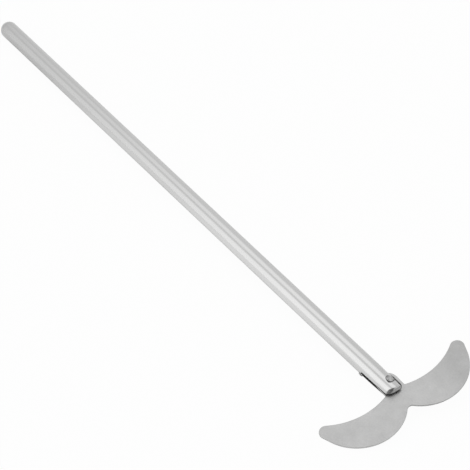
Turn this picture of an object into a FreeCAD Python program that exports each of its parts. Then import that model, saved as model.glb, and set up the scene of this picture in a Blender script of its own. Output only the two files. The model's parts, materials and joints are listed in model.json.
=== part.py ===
import FreeCAD, Part
import math
import os

import Sketcher

"""Stirrer shaft with a swinging sheet blade, lying at rest on a flat surface.

Build frame of every piece: X runs along the shaft from the domed top end to the slotted lower end,
Y runs across it in the plane of the blade, and Z is square to the blade.
The finished pieces are then rolled and pitched together into the way the shaft comes to rest:
the dome, the lower rivet head and one lobe of the blade touch the surface.
The origin is on the shaft's axis, one dome radius in from the tip of the dome.
"""

# Every size that can be set by itself, in millimetres or degrees
SIZES = (
    # Round bar
    ("shaft_length", 350.0, "overall length of the bar, dome included"),
    ("shaft_diameter", 10.0, "bar diameter, gripped by the chuck"),
    ("end_taper_length", 15.0, "slight taper turned on the slotted end"),
    ("end_taper_angle", 1.8, "lean of the taper to the bar's axis, degrees"),
    ("lower_end_round", 1.7, "edge round at the slotted end"),
    # Slot in the lower end
    ("slot_depth", 20.2, "from the slotted end to the bottom of the slot"),
    ("slot_width", 2.4, "gap between the two cheeks"),
    ("slot_root_round", 0.4, "corner round at the bottom of the slot"),
    # Rivet
    ("rivet_from_end", 5.0, "rivet axis to the slotted end"),
    ("rivet_side_offset", 1.0, "rivet axis to the middle of the bar, across it"),
    ("rivet_diameter", 3.0, "rivet shank"),
    ("rivet_head_diameter", 5.8, "formed head, across"),
    ("rivet_head_rim", 0.4, "straight rim of the head above the full round of the bar"),
    ("rivet_head_crown", 1.2, "crown of the head above its rim"),
    ("rivet_cheek_clearance", 0.02, "shank to hole in the cheeks, radial"),
    ("rivet_seat_clearance", 0.02, "underside of the head to the bar"),
    # Sheet blade
    ("sheet_thickness", 1.0, "blade sheet"),
    ("blade_hole_clearance", 0.1, "shank to hole in the blade, radial"),
    ("blade_side_clearance", 0.1, "blade to the lower cheek that it lies on"),
    ("lobe_radius", 25.0, "round lower edge of each lobe"),
    ("lobe_offset", 20.0, "lobe centre to the blade's middle line"),
    ("lobe_rise", 1.0, "lobe centre above the rivet"),
    ("side_lean", 21.0, "lean of the straight outer edge, degrees"),
    ("tip_round", 3.75, "round of the upper tip"),
    ("brow_radius", 38.4, "hollow upper edge of each lobe"),
    ("brow_offset", 18.0, "centre of the hollow edge to the middle line"),
    ("brow_drop", 5.5, "lowest point of the hollow edge below the rivet"),
    ("notch_round", 2.5, "round at the top of the lower notch"),
    ("neck_round", 1.0, "round between the hollow edge and the tongue"),
    ("tongue_half_width", 6.2, "half the width of the tongue, and its top radius"),
    ("tongue_rise", 2.3, "centre of the tongue's round top above the rivet"),
    ("blade_turn", -2.7, "turn of the blade about the rivet at rest, degrees"),
)


def make_sheet(doc):
    """Spreadsheet of the driving dimensions, one alias a row."""
    sheet = doc.addObject("Spreadsheet::Sheet", "Sizes")
    for row, (name, value, note) in enumerate(SIZES, start=1):
        sheet.set(f"A{row}", name)
        sheet.set(f"B{row}", repr(value))
        sheet.set(f"C{row}", note)
        sheet.setAlias(f"B{row}", name)
    doc.recompute()
    return sheet


def size(sheet, name):
    """Value of one driving dimension as a float."""
    return float(getattr(sheet, name))


def origin_plane(body, role):
    """One of the body's own origin planes, found by its role."""
    return next(item for item in body.Origin.OriginFeatures if item.Role == role)


def new_sketch(body, name, role):
    """Sketch on one of the body's own origin planes."""
    sketch = body.newObject("Sketcher::SketchObject", name)
    sketch.AttachmentSupport = [(origin_plane(body, role), "")]
    sketch.MapMode = "FlatFace"
    return sketch


def name_size(sketch, constraint, label, expression):
    """Add a dimension to a sketch, name it and bind it to the sheet."""
    index = sketch.addConstraint(constraint)
    sketch.renameConstraint(index, label)
    sketch.setExpression(f"Constraints.{label}", expression)
    return index


def arc(centre, radius, start, end):
    """Counter-clockwise arc of a circle in the sketch plane, angles in radians."""
    circle = Part.Circle(FreeCAD.Vector(centre[0], centre[1], 0), FreeCAD.Vector(0, 0, 1), radius)
    return Part.ArcOfCircle(circle, start, end)


def line(start, end):
    """Straight edge in the sketch plane."""
    return Part.LineSegment(FreeCAD.Vector(start[0], start[1], 0), FreeCAD.Vector(end[0], end[1], 0))


def build_shaft(doc, sheet):
    """Round bar: revolved outline with the dome and the tapered lower end, slot and cross hole."""
    radius = size(sheet, "shaft_diameter") / 2
    length = size(sheet, "shaft_length") - radius
    edge = size(sheet, "lower_end_round")
    taper = math.radians(size(sheet, "end_taper_angle"))
    taper_x = length - size(sheet, "end_taper_length")
    body = doc.addObject("PartDesign::Body", "ShaftBody")
    body.Label = "shaft"

    # Half outline above the axis: dome, straight side, slight taper, edge round, flat end
    round_x = length - edge
    round_y = radius - (edge + (round_x - taper_x) * math.sin(taper)) / math.cos(taper)
    taper_end = (round_x + edge * math.sin(taper), round_y + edge * math.cos(taper))
    outline = new_sketch(body, "ShaftOutline", "XY_Plane")
    outline.addGeometry(arc((0, 0), radius, math.pi / 2, math.pi), False)
    outline.addGeometry(line((0, radius), (taper_x, radius)), False)
    outline.addGeometry(line((taper_x, radius), taper_end), False)
    outline.addGeometry(arc((round_x, round_y), edge, 0, math.pi / 2 - taper), False)
    outline.addGeometry(line((length, round_y), (length, 0)), False)
    outline.addGeometry(line((length, 0), (-radius, 0)), False)
    outline.addConstraint(Sketcher.Constraint("Coincident", 0, 3, -1, 1))
    outline.addConstraint(Sketcher.Constraint("Tangent", 0, 1, 1, 1))
    outline.addConstraint(Sketcher.Constraint("Coincident", 1, 2, 2, 1))
    outline.addConstraint(Sketcher.Constraint("Tangent", 2, 2, 3, 2))
    outline.addConstraint(Sketcher.Constraint("Tangent", 3, 1, 4, 1))
    outline.addConstraint(Sketcher.Constraint("Coincident", 4, 2, 5, 1))
    outline.addConstraint(Sketcher.Constraint("Coincident", 5, 2, 0, 2))
    outline.addConstraint(Sketcher.Constraint("PointOnObject", 4, 2, -1))
    outline.addConstraint(Sketcher.Constraint("PointOnObject", 0, 2, -1))
    outline.addConstraint(Sketcher.Constraint("Horizontal", 1))
    outline.addConstraint(Sketcher.Constraint("Vertical", 4))
    name_size(outline, Sketcher.Constraint("Radius", 0, radius), "dome", "Sizes.shaft_diameter / 2")
    name_size(outline, Sketcher.Constraint("Radius", 3, edge), "edge", "Sizes.lower_end_round")
    name_size(outline, Sketcher.Constraint("Angle", 2, -taper), "lean", "-Sizes.end_taper_angle")
    name_size(
        outline,
        Sketcher.Constraint("DistanceX", -1, 1, 1, 2, taper_x),
        "taper_start",
        "Sizes.shaft_length - Sizes.shaft_diameter / 2 - Sizes.end_taper_length",
    )
    name_size(
        outline,
        Sketcher.Constraint("DistanceX", -1, 1, 4, 2, length),
        "reach",
        "Sizes.shaft_length - Sizes.shaft_diameter / 2",
    )
    bar = body.newObject("PartDesign::Revolution", "Bar")
    bar.Profile = outline
    bar.ReferenceAxis = (outline, ["H_Axis"])
    bar.Angle = 360.0
    doc.recompute()

    # Slot through the lower end, in the plane of the blade
    depth = size(sheet, "slot_depth")
    half = size(sheet, "slot_width") / 2
    slot = new_sketch(body, "SlotOutline", "XZ_Plane")
    slot.addGeometry(line((length - depth, -half), (length + half, -half)), False)
    slot.addGeometry(line((length + half, -half), (length + half, half)), False)
    slot.addGeometry(line((length + half, half), (length - depth, half)), False)
    slot.addGeometry(line((length - depth, half), (length - depth, -half)), False)
    for index in range(4):
        slot.addConstraint(Sketcher.Constraint("Coincident", index, 2, (index + 1) % 4, 1))
    slot.addConstraint(Sketcher.Constraint("Horizontal", 0))
    slot.addConstraint(Sketcher.Constraint("Vertical", 1))
    slot.addConstraint(Sketcher.Constraint("Horizontal", 2))
    slot.addConstraint(Sketcher.Constraint("Symmetric", 2, 2, 3, 2, -1))
    name_size(slot, Sketcher.Constraint("DistanceY", 3, 2, 3, 1, 2 * half), "gap", "Sizes.slot_width")
    name_size(
        slot,
        Sketcher.Constraint("DistanceX", -1, 1, 3, 2, length - depth),
        "root",
        "Sizes.shaft_length - Sizes.shaft_diameter / 2 - Sizes.slot_depth",
    )
    name_size(
        slot,
        Sketcher.Constraint("DistanceX", -1, 1, 0, 2, length + half),
        "mouth",
        "Sizes.shaft_length - Sizes.shaft_diameter / 2 + Sizes.slot_width / 2",
    )
    slot_cut = body.newObject("PartDesign::Pocket", "Slot")
    slot_cut.Profile = slot
    slot_cut.Midplane = True
    slot_cut.Type = 1
    doc.recompute()

    # Cross hole for the rivet, square to the slot
    hole = new_sketch(body, "RivetHoleOutline", "XY_Plane")
    pivot = (length - size(sheet, "rivet_from_end"), size(sheet, "rivet_side_offset"))
    bore = size(sheet, "rivet_diameter") / 2 + size(sheet, "rivet_cheek_clearance")
    hole.addGeometry(
        Part.Circle(FreeCAD.Vector(pivot[0], pivot[1], 0), FreeCAD.Vector(0, 0, 1), bore), False
    )
    name_size(
        hole,
        Sketcher.Constraint("Radius", 0, bore),
        "bore",
        "Sizes.rivet_diameter / 2 + Sizes.rivet_cheek_clearance",
    )
    name_size(
        hole,
        Sketcher.Constraint("DistanceX", -1, 1, 0, 3, pivot[0]),
        "along",
        "Sizes.shaft_length - Sizes.shaft_diameter / 2 - Sizes.rivet_from_end",
    )
    name_size(
        hole,
        Sketcher.Constraint("DistanceY", -1, 1, 0, 3, pivot[1]),
        "across",
        "Sizes.rivet_side_offset",
    )
    hole_cut = body.newObject("PartDesign::Pocket", "RivetHole")
    hole_cut.Profile = hole
    hole_cut.Midplane = True
    hole_cut.Type = 1
    doc.recompute()

    # Round the two corners at the bottom of the slot: level edges that lie across it
    root_x = length - depth
    corners = [
        f"Edge{number}"
        for number, corner in enumerate(hole_cut.Shape.Edges, start=1)
        if abs(corner.BoundBox.XMin - root_x) < 1e-3
        and abs(corner.BoundBox.XMax - root_x) < 1e-3
        and corner.BoundBox.ZLength < 1e-3
    ]
    root = body.newObject("PartDesign::Fillet", "SlotRoot")
    root.Base = (hole_cut, corners)
    root.setExpression("Radius", "Sizes.slot_root_round")
    doc.recompute()
    return body


def blade_points(sheet):
    """Centres and angles of the blade's half outline, worked out from its tangencies.

    The sketch has the rivet at its origin, X down the blade and Y across it.
    """
    lobe = (-size(sheet, "lobe_rise"), size(sheet, "lobe_offset"))
    lobe_r = size(sheet, "lobe_radius")
    brow_r = size(sheet, "brow_radius")
    brow = (size(sheet, "brow_drop") - brow_r, size(sheet, "brow_offset"))
    notch_r = size(sheet, "notch_round")
    tip_r = size(sheet, "tip_round")
    neck_r = size(sheet, "neck_round")
    half = size(sheet, "tongue_half_width")
    lean = math.radians(size(sheet, "side_lean"))

    # The notch round touches the lobe from outside, with its centre on the middle line
    notch = (lobe[0] + math.sqrt((lobe_r + notch_r) ** 2 - lobe[1] ** 2), 0.0)
    notch_turn = math.atan2(lobe[1] - notch[1], lobe[0] - notch[0])
    # The outer edge leaves the lobe where its normal leans down by the lean angle
    side_normal = (math.sin(lean), math.cos(lean))
    side_start = (lobe[0] + lobe_r * side_normal[0], lobe[1] + lobe_r * side_normal[1])
    side_along = (-math.cos(lean), math.sin(lean))
    # The tip round lies inside the outer edge and touches the brow circle from outside
    inner = (side_start[0] - tip_r * side_normal[0], side_start[1] - tip_r * side_normal[1])
    gap = (inner[0] - brow[0], inner[1] - brow[1])
    half_b = gap[0] * side_along[0] + gap[1] * side_along[1]
    rest = gap[0] ** 2 + gap[1] ** 2 - (brow_r + tip_r) ** 2
    run = -half_b - math.sqrt(half_b ** 2 - rest)
    tip = (inner[0] + run * side_along[0], inner[1] + run * side_along[1])
    side_end = (tip[0] + tip_r * side_normal[0], tip[1] + tip_r * side_normal[1])
    tip_turn = math.atan2(brow[1] - tip[1], brow[0] - tip[0])
    # The neck round lies outside the tongue and touches the brow circle from inside
    neck_y = half + neck_r
    neck = (brow[0] + math.sqrt((brow_r - neck_r) ** 2 - (neck_y - brow[1]) ** 2), neck_y)
    neck_turn = math.atan2(neck[1] - brow[1], neck[0] - brow[0])
    return {
        "lobe": lobe,
        "brow": brow,
        "notch": notch,
        "tip": tip,
        "neck": neck,
        "notch_turn": notch_turn,
        "tip_turn": tip_turn,
        "neck_turn": neck_turn,
        "side_start": side_start,
        "side_end": side_end,
        "side_turn": math.atan2(side_normal[1], side_normal[0]),
    }


def build_blade(doc, sheet):
    """Flat sheet blade: half outline with tangent arcs, padded, mirrored and drilled."""
    place = blade_points(sheet)
    half = size(sheet, "tongue_half_width")
    top = size(sheet, "tongue_rise")
    turn = 2 * math.pi
    body = doc.addObject("PartDesign::Body", "BladeBody")
    body.Label = "blade"
    outline = new_sketch(body, "BladeOutline", "XY_Plane")

    # 0 notch round, 1 lobe, 2 outer edge, 3 tip round, 4 hollow upper edge
    notch_r = size(sheet, "notch_round")
    lobe_r = size(sheet, "lobe_radius")
    tip_r = size(sheet, "tip_round")
    brow_r = size(sheet, "brow_radius")
    neck_r = size(sheet, "neck_round")
    outline.addGeometry(arc(place["notch"], notch_r, place["notch_turn"], math.pi), False)
    lobe_end = place["notch_turn"] - math.pi
    outline.addGeometry(arc(place["lobe"], lobe_r, lobe_end, place["side_turn"]), False)
    outline.addGeometry(line(place["side_start"], place["side_end"]), False)
    outline.addGeometry(arc(place["tip"], tip_r, place["side_turn"], place["tip_turn"] % turn), False)
    brow_end = (place["tip_turn"] + math.pi) % turn
    outline.addGeometry(
        arc(place["brow"], brow_r, place["neck_turn"], brow_end if brow_end < math.pi else brow_end - turn),
        False,
    )
    # 5 neck round, 6 tongue side, 7 tongue top, 8 middle line
    outline.addGeometry(arc(place["neck"], neck_r, -math.pi / 2, place["neck_turn"]), False)
    outline.addGeometry(line((place["neck"][0], half), (-top, half)), False)
    outline.addGeometry(arc((-top, 0), half, math.pi / 2, math.pi), False)
    outline.addGeometry(line((-top - half, 0), (place["notch"][0] - notch_r, 0)), False)

    outline.addConstraint(Sketcher.Constraint("Tangent", 0, 1, 1, 1))
    outline.addConstraint(Sketcher.Constraint("Tangent", 1, 2, 2, 1))
    outline.addConstraint(Sketcher.Constraint("Tangent", 2, 2, 3, 1))
    outline.addConstraint(Sketcher.Constraint("Tangent", 3, 2, 4, 2))
    outline.addConstraint(Sketcher.Constraint("Tangent", 4, 1, 5, 2))
    outline.addConstraint(Sketcher.Constraint("Tangent", 5, 1, 6, 1))
    outline.addConstraint(Sketcher.Constraint("Tangent", 6, 2, 7, 1))
    outline.addConstraint(Sketcher.Constraint("Coincident", 7, 2, 8, 1))
    outline.addConstraint(Sketcher.Constraint("Coincident", 8, 2, 0, 2))
    outline.addConstraint(Sketcher.Constraint("PointOnObject", 7, 2, -1))
    outline.addConstraint(Sketcher.Constraint("PointOnObject", 0, 2, -1))
    outline.addConstraint(Sketcher.Constraint("PointOnObject", 0, 3, -1))
    outline.addConstraint(Sketcher.Constraint("PointOnObject", 7, 3, -1))
    outline.addConstraint(Sketcher.Constraint("Horizontal", 6))
    radii = (
        (0, notch_r, "notch", "Sizes.notch_round"),
        (1, lobe_r, "lobe", "Sizes.lobe_radius"),
        (3, tip_r, "tip", "Sizes.tip_round"),
        (4, brow_r, "brow", "Sizes.brow_radius"),
        (5, neck_r, "neck", "Sizes.neck_round"),
        (7, half, "tongue", "Sizes.tongue_half_width"),
    )
    for index, value, label, expression in radii:
        name_size(outline, Sketcher.Constraint("Radius", index, value), label, expression)
    lobe = place["lobe"]
    brow = place["brow"]
    name_size(
        outline, Sketcher.Constraint("DistanceY", -1, 1, 1, 3, lobe[1]), "lobe_across", "Sizes.lobe_offset"
    )
    name_size(
        outline, Sketcher.Constraint("DistanceX", 1, 3, -1, 1, -lobe[0]), "lobe_up", "Sizes.lobe_rise"
    )
    name_size(
        outline, Sketcher.Constraint("DistanceY", -1, 1, 4, 3, brow[1]), "brow_across", "Sizes.brow_offset"
    )
    name_size(
        outline,
        Sketcher.Constraint("DistanceX", 4, 3, -1, 1, -brow[0]),
        "brow_up",
        "Sizes.brow_radius - Sizes.brow_drop",
    )
    name_size(outline, Sketcher.Constraint("DistanceX", 7, 3, -1, 1, top), "tongue_up", "Sizes.tongue_rise")
    side_angle = math.atan2(
        place["side_end"][1] - place["side_start"][1], place["side_end"][0] - place["side_start"][0]
    )
    name_size(outline, Sketcher.Constraint("Angle", 2, side_angle), "lean", "180 - Sizes.side_lean")

    sheet_pad = body.newObject("PartDesign::Pad", "HalfSheet")
    sheet_pad.Profile = outline
    sheet_pad.Midplane = True
    sheet_pad.setExpression("Length", "Sizes.sheet_thickness")
    doc.recompute()
    whole = body.newObject("PartDesign::Mirrored", "WholeSheet")
    whole.Originals = [sheet_pad]
    whole.MirrorPlane = (origin_plane(body, "XZ_Plane"), [""])
    body.Tip = whole
    doc.recompute()

    # Pivot hole at the sketch origin
    hole = new_sketch(body, "PivotHoleOutline", "XY_Plane")
    bore = size(sheet, "rivet_diameter") / 2 + size(sheet, "blade_hole_clearance")
    hole.addGeometry(Part.Circle(FreeCAD.Vector(0, 0, 0), FreeCAD.Vector(0, 0, 1), bore), False)
    hole.addConstraint(Sketcher.Constraint("Coincident", 0, 3, -1, 1))
    name_size(
        hole,
        Sketcher.Constraint("Radius", 0, bore),
        "bore",
        "Sizes.rivet_diameter / 2 + Sizes.blade_hole_clearance",
    )
    hole_cut = body.newObject("PartDesign::Pocket", "PivotHole")
    hole_cut.Profile = hole
    hole_cut.Midplane = True
    hole_cut.Type = 1
    doc.recompute()
    return body


def build_rivet(doc, sheet):
    """Rivet: a domed form cut to the round of the bar gives both heads, and the shank joins them.

    The rivet is built about its own axis, with the bar's axis beside it.
    """
    head = size(sheet, "rivet_head_diameter") / 2
    crown = size(sheet, "rivet_head_crown")
    rim = size(sheet, "shaft_diameter") / 2 + size(sheet, "rivet_head_rim")
    ball = (head ** 2 + crown ** 2) / (2 * crown)
    centre = rim + crown - ball
    form_body = doc.addObject("PartDesign::Body", "HeadForm")
    form = new_sketch(form_body, "HeadOutline", "XZ_Plane")

    # Quarter outline: axis, crown, rim, middle plane
    rim_turn = math.atan2(rim - centre, head)
    form.addGeometry(line((0, 0), (0, rim + crown)), False)
    form.addGeometry(arc((0, centre), ball, rim_turn, math.pi / 2), False)
    form.addGeometry(line((head, rim), (head, 0)), False)
    form.addGeometry(line((head, 0), (0, 0)), False)
    form.addConstraint(Sketcher.Constraint("Coincident", 0, 2, 1, 2))
    form.addConstraint(Sketcher.Constraint("Coincident", 1, 1, 2, 1))
    form.addConstraint(Sketcher.Constraint("Coincident", 2, 2, 3, 1))
    form.addConstraint(Sketcher.Constraint("Coincident", 3, 2, 0, 1))
    form.addConstraint(Sketcher.Constraint("Coincident", 0, 1, -1, 1))
    form.addConstraint(Sketcher.Constraint("Vertical", 0))
    form.addConstraint(Sketcher.Constraint("Vertical", 2))
    form.addConstraint(Sketcher.Constraint("Horizontal", 3))
    form.addConstraint(Sketcher.Constraint("PointOnObject", 1, 3, -2))
    name_size(
        form, Sketcher.Constraint("DistanceX", 3, 2, 3, 1, head), "head", "Sizes.rivet_head_diameter / 2"
    )
    name_size(
        form,
        Sketcher.Constraint("DistanceY", 2, 2, 2, 1, rim),
        "rim",
        "Sizes.shaft_diameter / 2 + Sizes.rivet_head_rim",
    )
    name_size(
        form,
        Sketcher.Constraint("DistanceY", 0, 1, 0, 2, rim + crown),
        "crown",
        "Sizes.shaft_diameter / 2 + Sizes.rivet_head_rim + Sizes.rivet_head_crown",
    )
    upper = form_body.newObject("PartDesign::Revolution", "UpperForm")
    upper.Profile = form
    upper.ReferenceAxis = (form, ["V_Axis"])
    upper.Angle = 360.0
    doc.recompute()
    both = form_body.newObject("PartDesign::Mirrored", "BothForms")
    both.Originals = [upper]
    both.MirrorPlane = (origin_plane(form_body, "XY_Plane"), [""])
    form_body.Tip = both
    doc.recompute()

    # Tapered end of the bar that the heads are formed against, one head diameter to each side
    taper_drop = "(Sizes.end_taper_length - Sizes.rivet_from_end {} Sizes.rivet_head_diameter)"
    seat = "Sizes.shaft_diameter / 2 + Sizes.rivet_seat_clearance - {} * tan(Sizes.end_taper_angle)"
    anvil = doc.addObject("Part::Cone", "HeadSeat")
    anvil.setExpression("Radius1", seat.format(taper_drop.format("-")))
    anvil.setExpression("Radius2", seat.format(taper_drop.format("+")))
    anvil.setExpression("Height", "Sizes.rivet_head_diameter * 2")
    anvil.Placement = FreeCAD.Placement(
        FreeCAD.Vector(-2 * head, -size(sheet, "rivet_side_offset"), 0),
        FreeCAD.Rotation(FreeCAD.Vector(0, 1, 0), 90),
    )
    heads = doc.addObject("Part::Cut", "Heads")
    heads.Base = form_body
    heads.Tool = anvil

    # Shank from inside one head to inside the other
    shank = doc.addObject("Part::Cylinder", "Shank")
    shank.setExpression("Radius", "Sizes.rivet_diameter / 2")
    shank.setExpression("Height", "Sizes.shaft_diameter + 2 * Sizes.rivet_head_rim")
    shank.Placement = FreeCAD.Placement(FreeCAD.Vector(0, 0, -rim), FreeCAD.Rotation())
    rivet = doc.addObject("Part::Fuse", "Rivet")
    rivet.Base = heads
    rivet.Tool = shank
    rivet.Label = "pivot_rivet"
    doc.recompute()
    return rivet


def rest_rotation(sheet):
    """Roll and pitch that bring the shaft from its build frame to rest on a flat surface.

    Roll: one lobe's edge comes as low as the lower rivet head.
    Pitch: the lower rivet head lifts the slotted end, and the dome stays on the surface.
    """
    radius = size(sheet, "shaft_diameter") / 2
    head = size(sheet, "rivet_head_diameter") / 2
    crown = size(sheet, "rivet_head_crown")
    offset = size(sheet, "rivet_side_offset")
    ball = (head ** 2 + crown ** 2) / (2 * crown)
    head_low = radius + size(sheet, "rivet_head_rim") + crown
    place = blade_points(sheet)
    turn = math.radians(size(sheet, "blade_turn"))
    reach = place["tip"][1] * math.cos(turn) - place["tip"][0] * math.sin(turn)
    reach += size(sheet, "tip_round") - offset
    under = -blade_height(sheet) + size(sheet, "sheet_thickness") / 2
    roll = 0.0
    for _ in range(20):
        low = ball + (head_low - ball) * math.cos(roll) - offset * math.sin(roll)
        roll = math.asin((low - under * math.cos(roll)) / reach)
    arm = size(sheet, "shaft_length") - radius - size(sheet, "rivet_from_end")
    pitch = math.atan2(low - radius, arm)
    about_axis = FreeCAD.Rotation(FreeCAD.Vector(1, 0, 0), math.degrees(roll))
    lift = FreeCAD.Rotation(FreeCAD.Vector(0, 1, 0), -math.degrees(pitch))
    return lift.multiply(about_axis)


def blade_height(sheet):
    """Height of the blade's middle plane over the bar's axis: it lies on the lower cheek."""
    low = -size(sheet, "slot_width") / 2 + size(sheet, "blade_side_clearance")
    return low + size(sheet, "sheet_thickness") / 2


def place_pieces(sheet, shaft, blade, rivet):
    """Put each piece in its place on the bar and turn them all to the rest position."""
    rest = FreeCAD.Placement(FreeCAD.Vector(0, 0, 0), rest_rotation(sheet))
    along = size(sheet, "shaft_length") - size(sheet, "shaft_diameter") / 2 - size(sheet, "rivet_from_end")
    across = size(sheet, "rivet_side_offset")
    blade_turn = FreeCAD.Rotation(FreeCAD.Vector(0, 0, 1), size(sheet, "blade_turn"))
    shaft.Placement = rest
    blade.Placement = rest.multiply(
        FreeCAD.Placement(FreeCAD.Vector(along, across, blade_height(sheet)), blade_turn)
    )
    rivet.Placement = rest.multiply(
        FreeCAD.Placement(FreeCAD.Vector(along, across, 0), FreeCAD.Rotation())
    )


def check_objects(doc, pieces):
    """Stop when any object failed, or a piece is empty or not one valid solid."""
    for item in doc.Objects:
        if "Invalid" in item.State or "Error" in item.State:
            raise RuntimeError(f"{item.Name} failed: {item.State}")
        if item.TypeId == "Sketcher::SketchObject" and not item.FullyConstrained:
            raise RuntimeError(f"{item.Name} is not fully constrained")
    for piece in pieces:
        shape = piece.Shape
        if shape.isNull() or not shape.isValid() or len(shape.Solids) != 1:
            raise RuntimeError(f"{piece.Label} is not one valid solid")


def main():
    """Build the document and write one file for each piece."""
    doc = FreeCAD.newDocument("StirrerShaft")
    sheet = make_sheet(doc)
    shaft = build_shaft(doc, sheet)
    blade = build_blade(doc, sheet)
    rivet = build_rivet(doc, sheet)
    place_pieces(sheet, shaft, blade, rivet)
    doc.recompute()
    pieces = (shaft, blade, rivet)
    check_objects(doc, pieces)
    os.makedirs("parts", exist_ok=True)
    for piece in pieces:
        piece.Shape.exportStep(f"parts/{piece.Label}.step")
        box = piece.Shape.BoundBox
        print(
            f"{piece.Label}: volume {piece.Shape.Volume:.2f},",
            f"box {box.XMin:.3f} {box.YMin:.3f} {box.ZMin:.3f}",
            f"to {box.XMax:.3f} {box.YMax:.3f} {box.ZMax:.3f}",
        )
    for name, spot, way in (
        ("rivet axis", rivet.Placement.Base, rivet.Placement.Rotation.multVec(FreeCAD.Vector(0, 0, 1))),
        ("bar axis", shaft.Placement.Base, shaft.Placement.Rotation.multVec(FreeCAD.Vector(-1, 0, 0))),
    ):
        print(f"{name}: at {spot.x:.5f} {spot.y:.5f} {spot.z:.5f}, along {way.x:.7f} {way.y:.7f} {way.z:.7f}")


main()
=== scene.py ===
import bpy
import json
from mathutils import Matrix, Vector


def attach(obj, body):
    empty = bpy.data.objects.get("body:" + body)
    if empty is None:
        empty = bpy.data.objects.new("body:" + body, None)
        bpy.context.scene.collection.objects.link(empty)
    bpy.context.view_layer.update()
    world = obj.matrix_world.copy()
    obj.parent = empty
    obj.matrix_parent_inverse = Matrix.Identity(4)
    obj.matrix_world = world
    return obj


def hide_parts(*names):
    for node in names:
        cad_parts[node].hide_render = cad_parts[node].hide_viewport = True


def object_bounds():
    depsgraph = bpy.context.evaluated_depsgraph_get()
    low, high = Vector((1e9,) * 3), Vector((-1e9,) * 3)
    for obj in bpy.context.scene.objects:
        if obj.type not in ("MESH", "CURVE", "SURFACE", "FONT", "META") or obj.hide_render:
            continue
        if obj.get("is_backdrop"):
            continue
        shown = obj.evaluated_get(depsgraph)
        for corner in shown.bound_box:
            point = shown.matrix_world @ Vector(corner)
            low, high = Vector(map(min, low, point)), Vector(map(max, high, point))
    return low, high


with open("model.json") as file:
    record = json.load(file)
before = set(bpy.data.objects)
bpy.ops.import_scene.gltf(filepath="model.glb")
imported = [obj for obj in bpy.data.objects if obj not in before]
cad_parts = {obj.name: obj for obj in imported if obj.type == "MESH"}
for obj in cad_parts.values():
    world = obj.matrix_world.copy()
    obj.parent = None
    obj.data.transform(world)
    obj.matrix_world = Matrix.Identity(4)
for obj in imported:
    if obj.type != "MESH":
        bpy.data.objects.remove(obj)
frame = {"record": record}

"""Looks of a stirrer shaft: a ground steel bar with a sheet blade that swings in its slotted end.

Every piece is worked out in the bar's own frame, in millimetres: X runs down the bar from the
centre of its dome to the slotted end, Y across it in the plane of the blade, and Z square to the
blade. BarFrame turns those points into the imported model's frame, in metres, where the shaft lies
at rest on the floor.
"""

import json
import logging
import math
from dataclasses import dataclass, field
from enum import Enum
from functools import partial
from typing import Any, Callable

import bmesh
import bpy
import numpy as np
from mathutils.geometry import tessellate_polygon

LOG = logging.getLogger("stirrer_shaft")
MM = 0.001  # metres in a millimetre
SAME = 1e-4  # points of an outline nearer than this, in millimetres, are one
WELD = 2e-7  # points of a mesh nearer than this, in metres, are merged
WHITE = (1.0, 1.0, 1.0, 1.0)

Array = np.ndarray
Pair = tuple[float, float]
Triple = tuple[float, float, float]
Socket = bpy.types.NodeSocket
ORIGIN: Triple = (0.0, 0.0, 0.0)


class Body(Enum):
    """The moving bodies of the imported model."""

    SHAFT = "shaft"
    BLADE = "blade"


class Node(Enum):
    """The CAD nodes that the finished pieces stand for."""

    SHAFT = "shaft"
    BLADE = "blade"
    RIVET = "pivot_rivet"


# ---- shader graph


class Signal:
    """A number that comes out of a node; Python operators on it add Math nodes."""

    def __init__(self, graph: "Graph", socket: Socket) -> None:
        """Wrap an output socket of a node in the graph."""
        self.graph = graph
        self.socket = socket

    def _math(self, operation: str, first: Any, second: Any, clamp: bool = False) -> "Signal":
        """Add a Math node.

        Args:
            operation: the node's operation.
            first: value or signal of the first input.
            second: value or signal of the second input.
            clamp: whether the result is kept between 0 and 1.

        Returns:
            The node's result as a signal.
        """
        settings = {"operation": operation, "use_clamp": clamp}
        node = self.graph.node("ShaderNodeMath", settings, {0: first, 1: second})
        return Signal(self.graph, node.outputs[0])

    def __add__(self, other: Any) -> "Signal":
        """self + other."""
        return self._math("ADD", self, other)

    __radd__ = __add__

    def __sub__(self, other: Any) -> "Signal":
        """self - other."""
        return self._math("SUBTRACT", self, other)

    def __rsub__(self, other: Any) -> "Signal":
        """other - self."""
        return self._math("SUBTRACT", other, self)

    def __mul__(self, other: Any) -> "Signal":
        """self * other."""
        return self._math("MULTIPLY", self, other)

    __rmul__ = __mul__

    def __truediv__(self, other: Any) -> "Signal":
        """self / other."""
        return self._math("DIVIDE", self, other)

    def __pow__(self, other: Any) -> "Signal":
        """self to the power of other."""
        return self._math("POWER", self, other)

    def clamp(self) -> "Signal":
        """Keep the signal between 0 and 1."""
        return self._math("ADD", self, 0.0, clamp=True)

    def at_least(self, floor: float) -> "Signal":
        """The greater of the signal and a number."""
        return self._math("MAXIMUM", self, floor)

    def angle_from(self, other: "Signal") -> "Signal":
        """Angle in radians whose tangent is self over other."""
        return self._math("ARCTAN2", self, other)

    def ease(self, low: float, high: float) -> "Signal":
        """Smooth rise from 0 at low to 1 at high.

        Args:
            low: value where the rise starts.
            high: value where it ends.

        Returns:
            The eased signal.
        """
        node = self.graph.node(
            "ShaderNodeMapRange",
            {"interpolation_type": "SMOOTHSTEP"},
            {"Value": self, "From Min": low, "From Max": high, "To Min": 0.0, "To Max": 1.0},
        )
        return Signal(self.graph, node.outputs["Result"])

    def band(self, rise: Pair, fall: Pair) -> "Signal":
        """Smooth rise from 0 to 1 over one span, and back to 0 over the other."""
        return self.ease(*rise) * (1.0 - self.ease(*fall))


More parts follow.
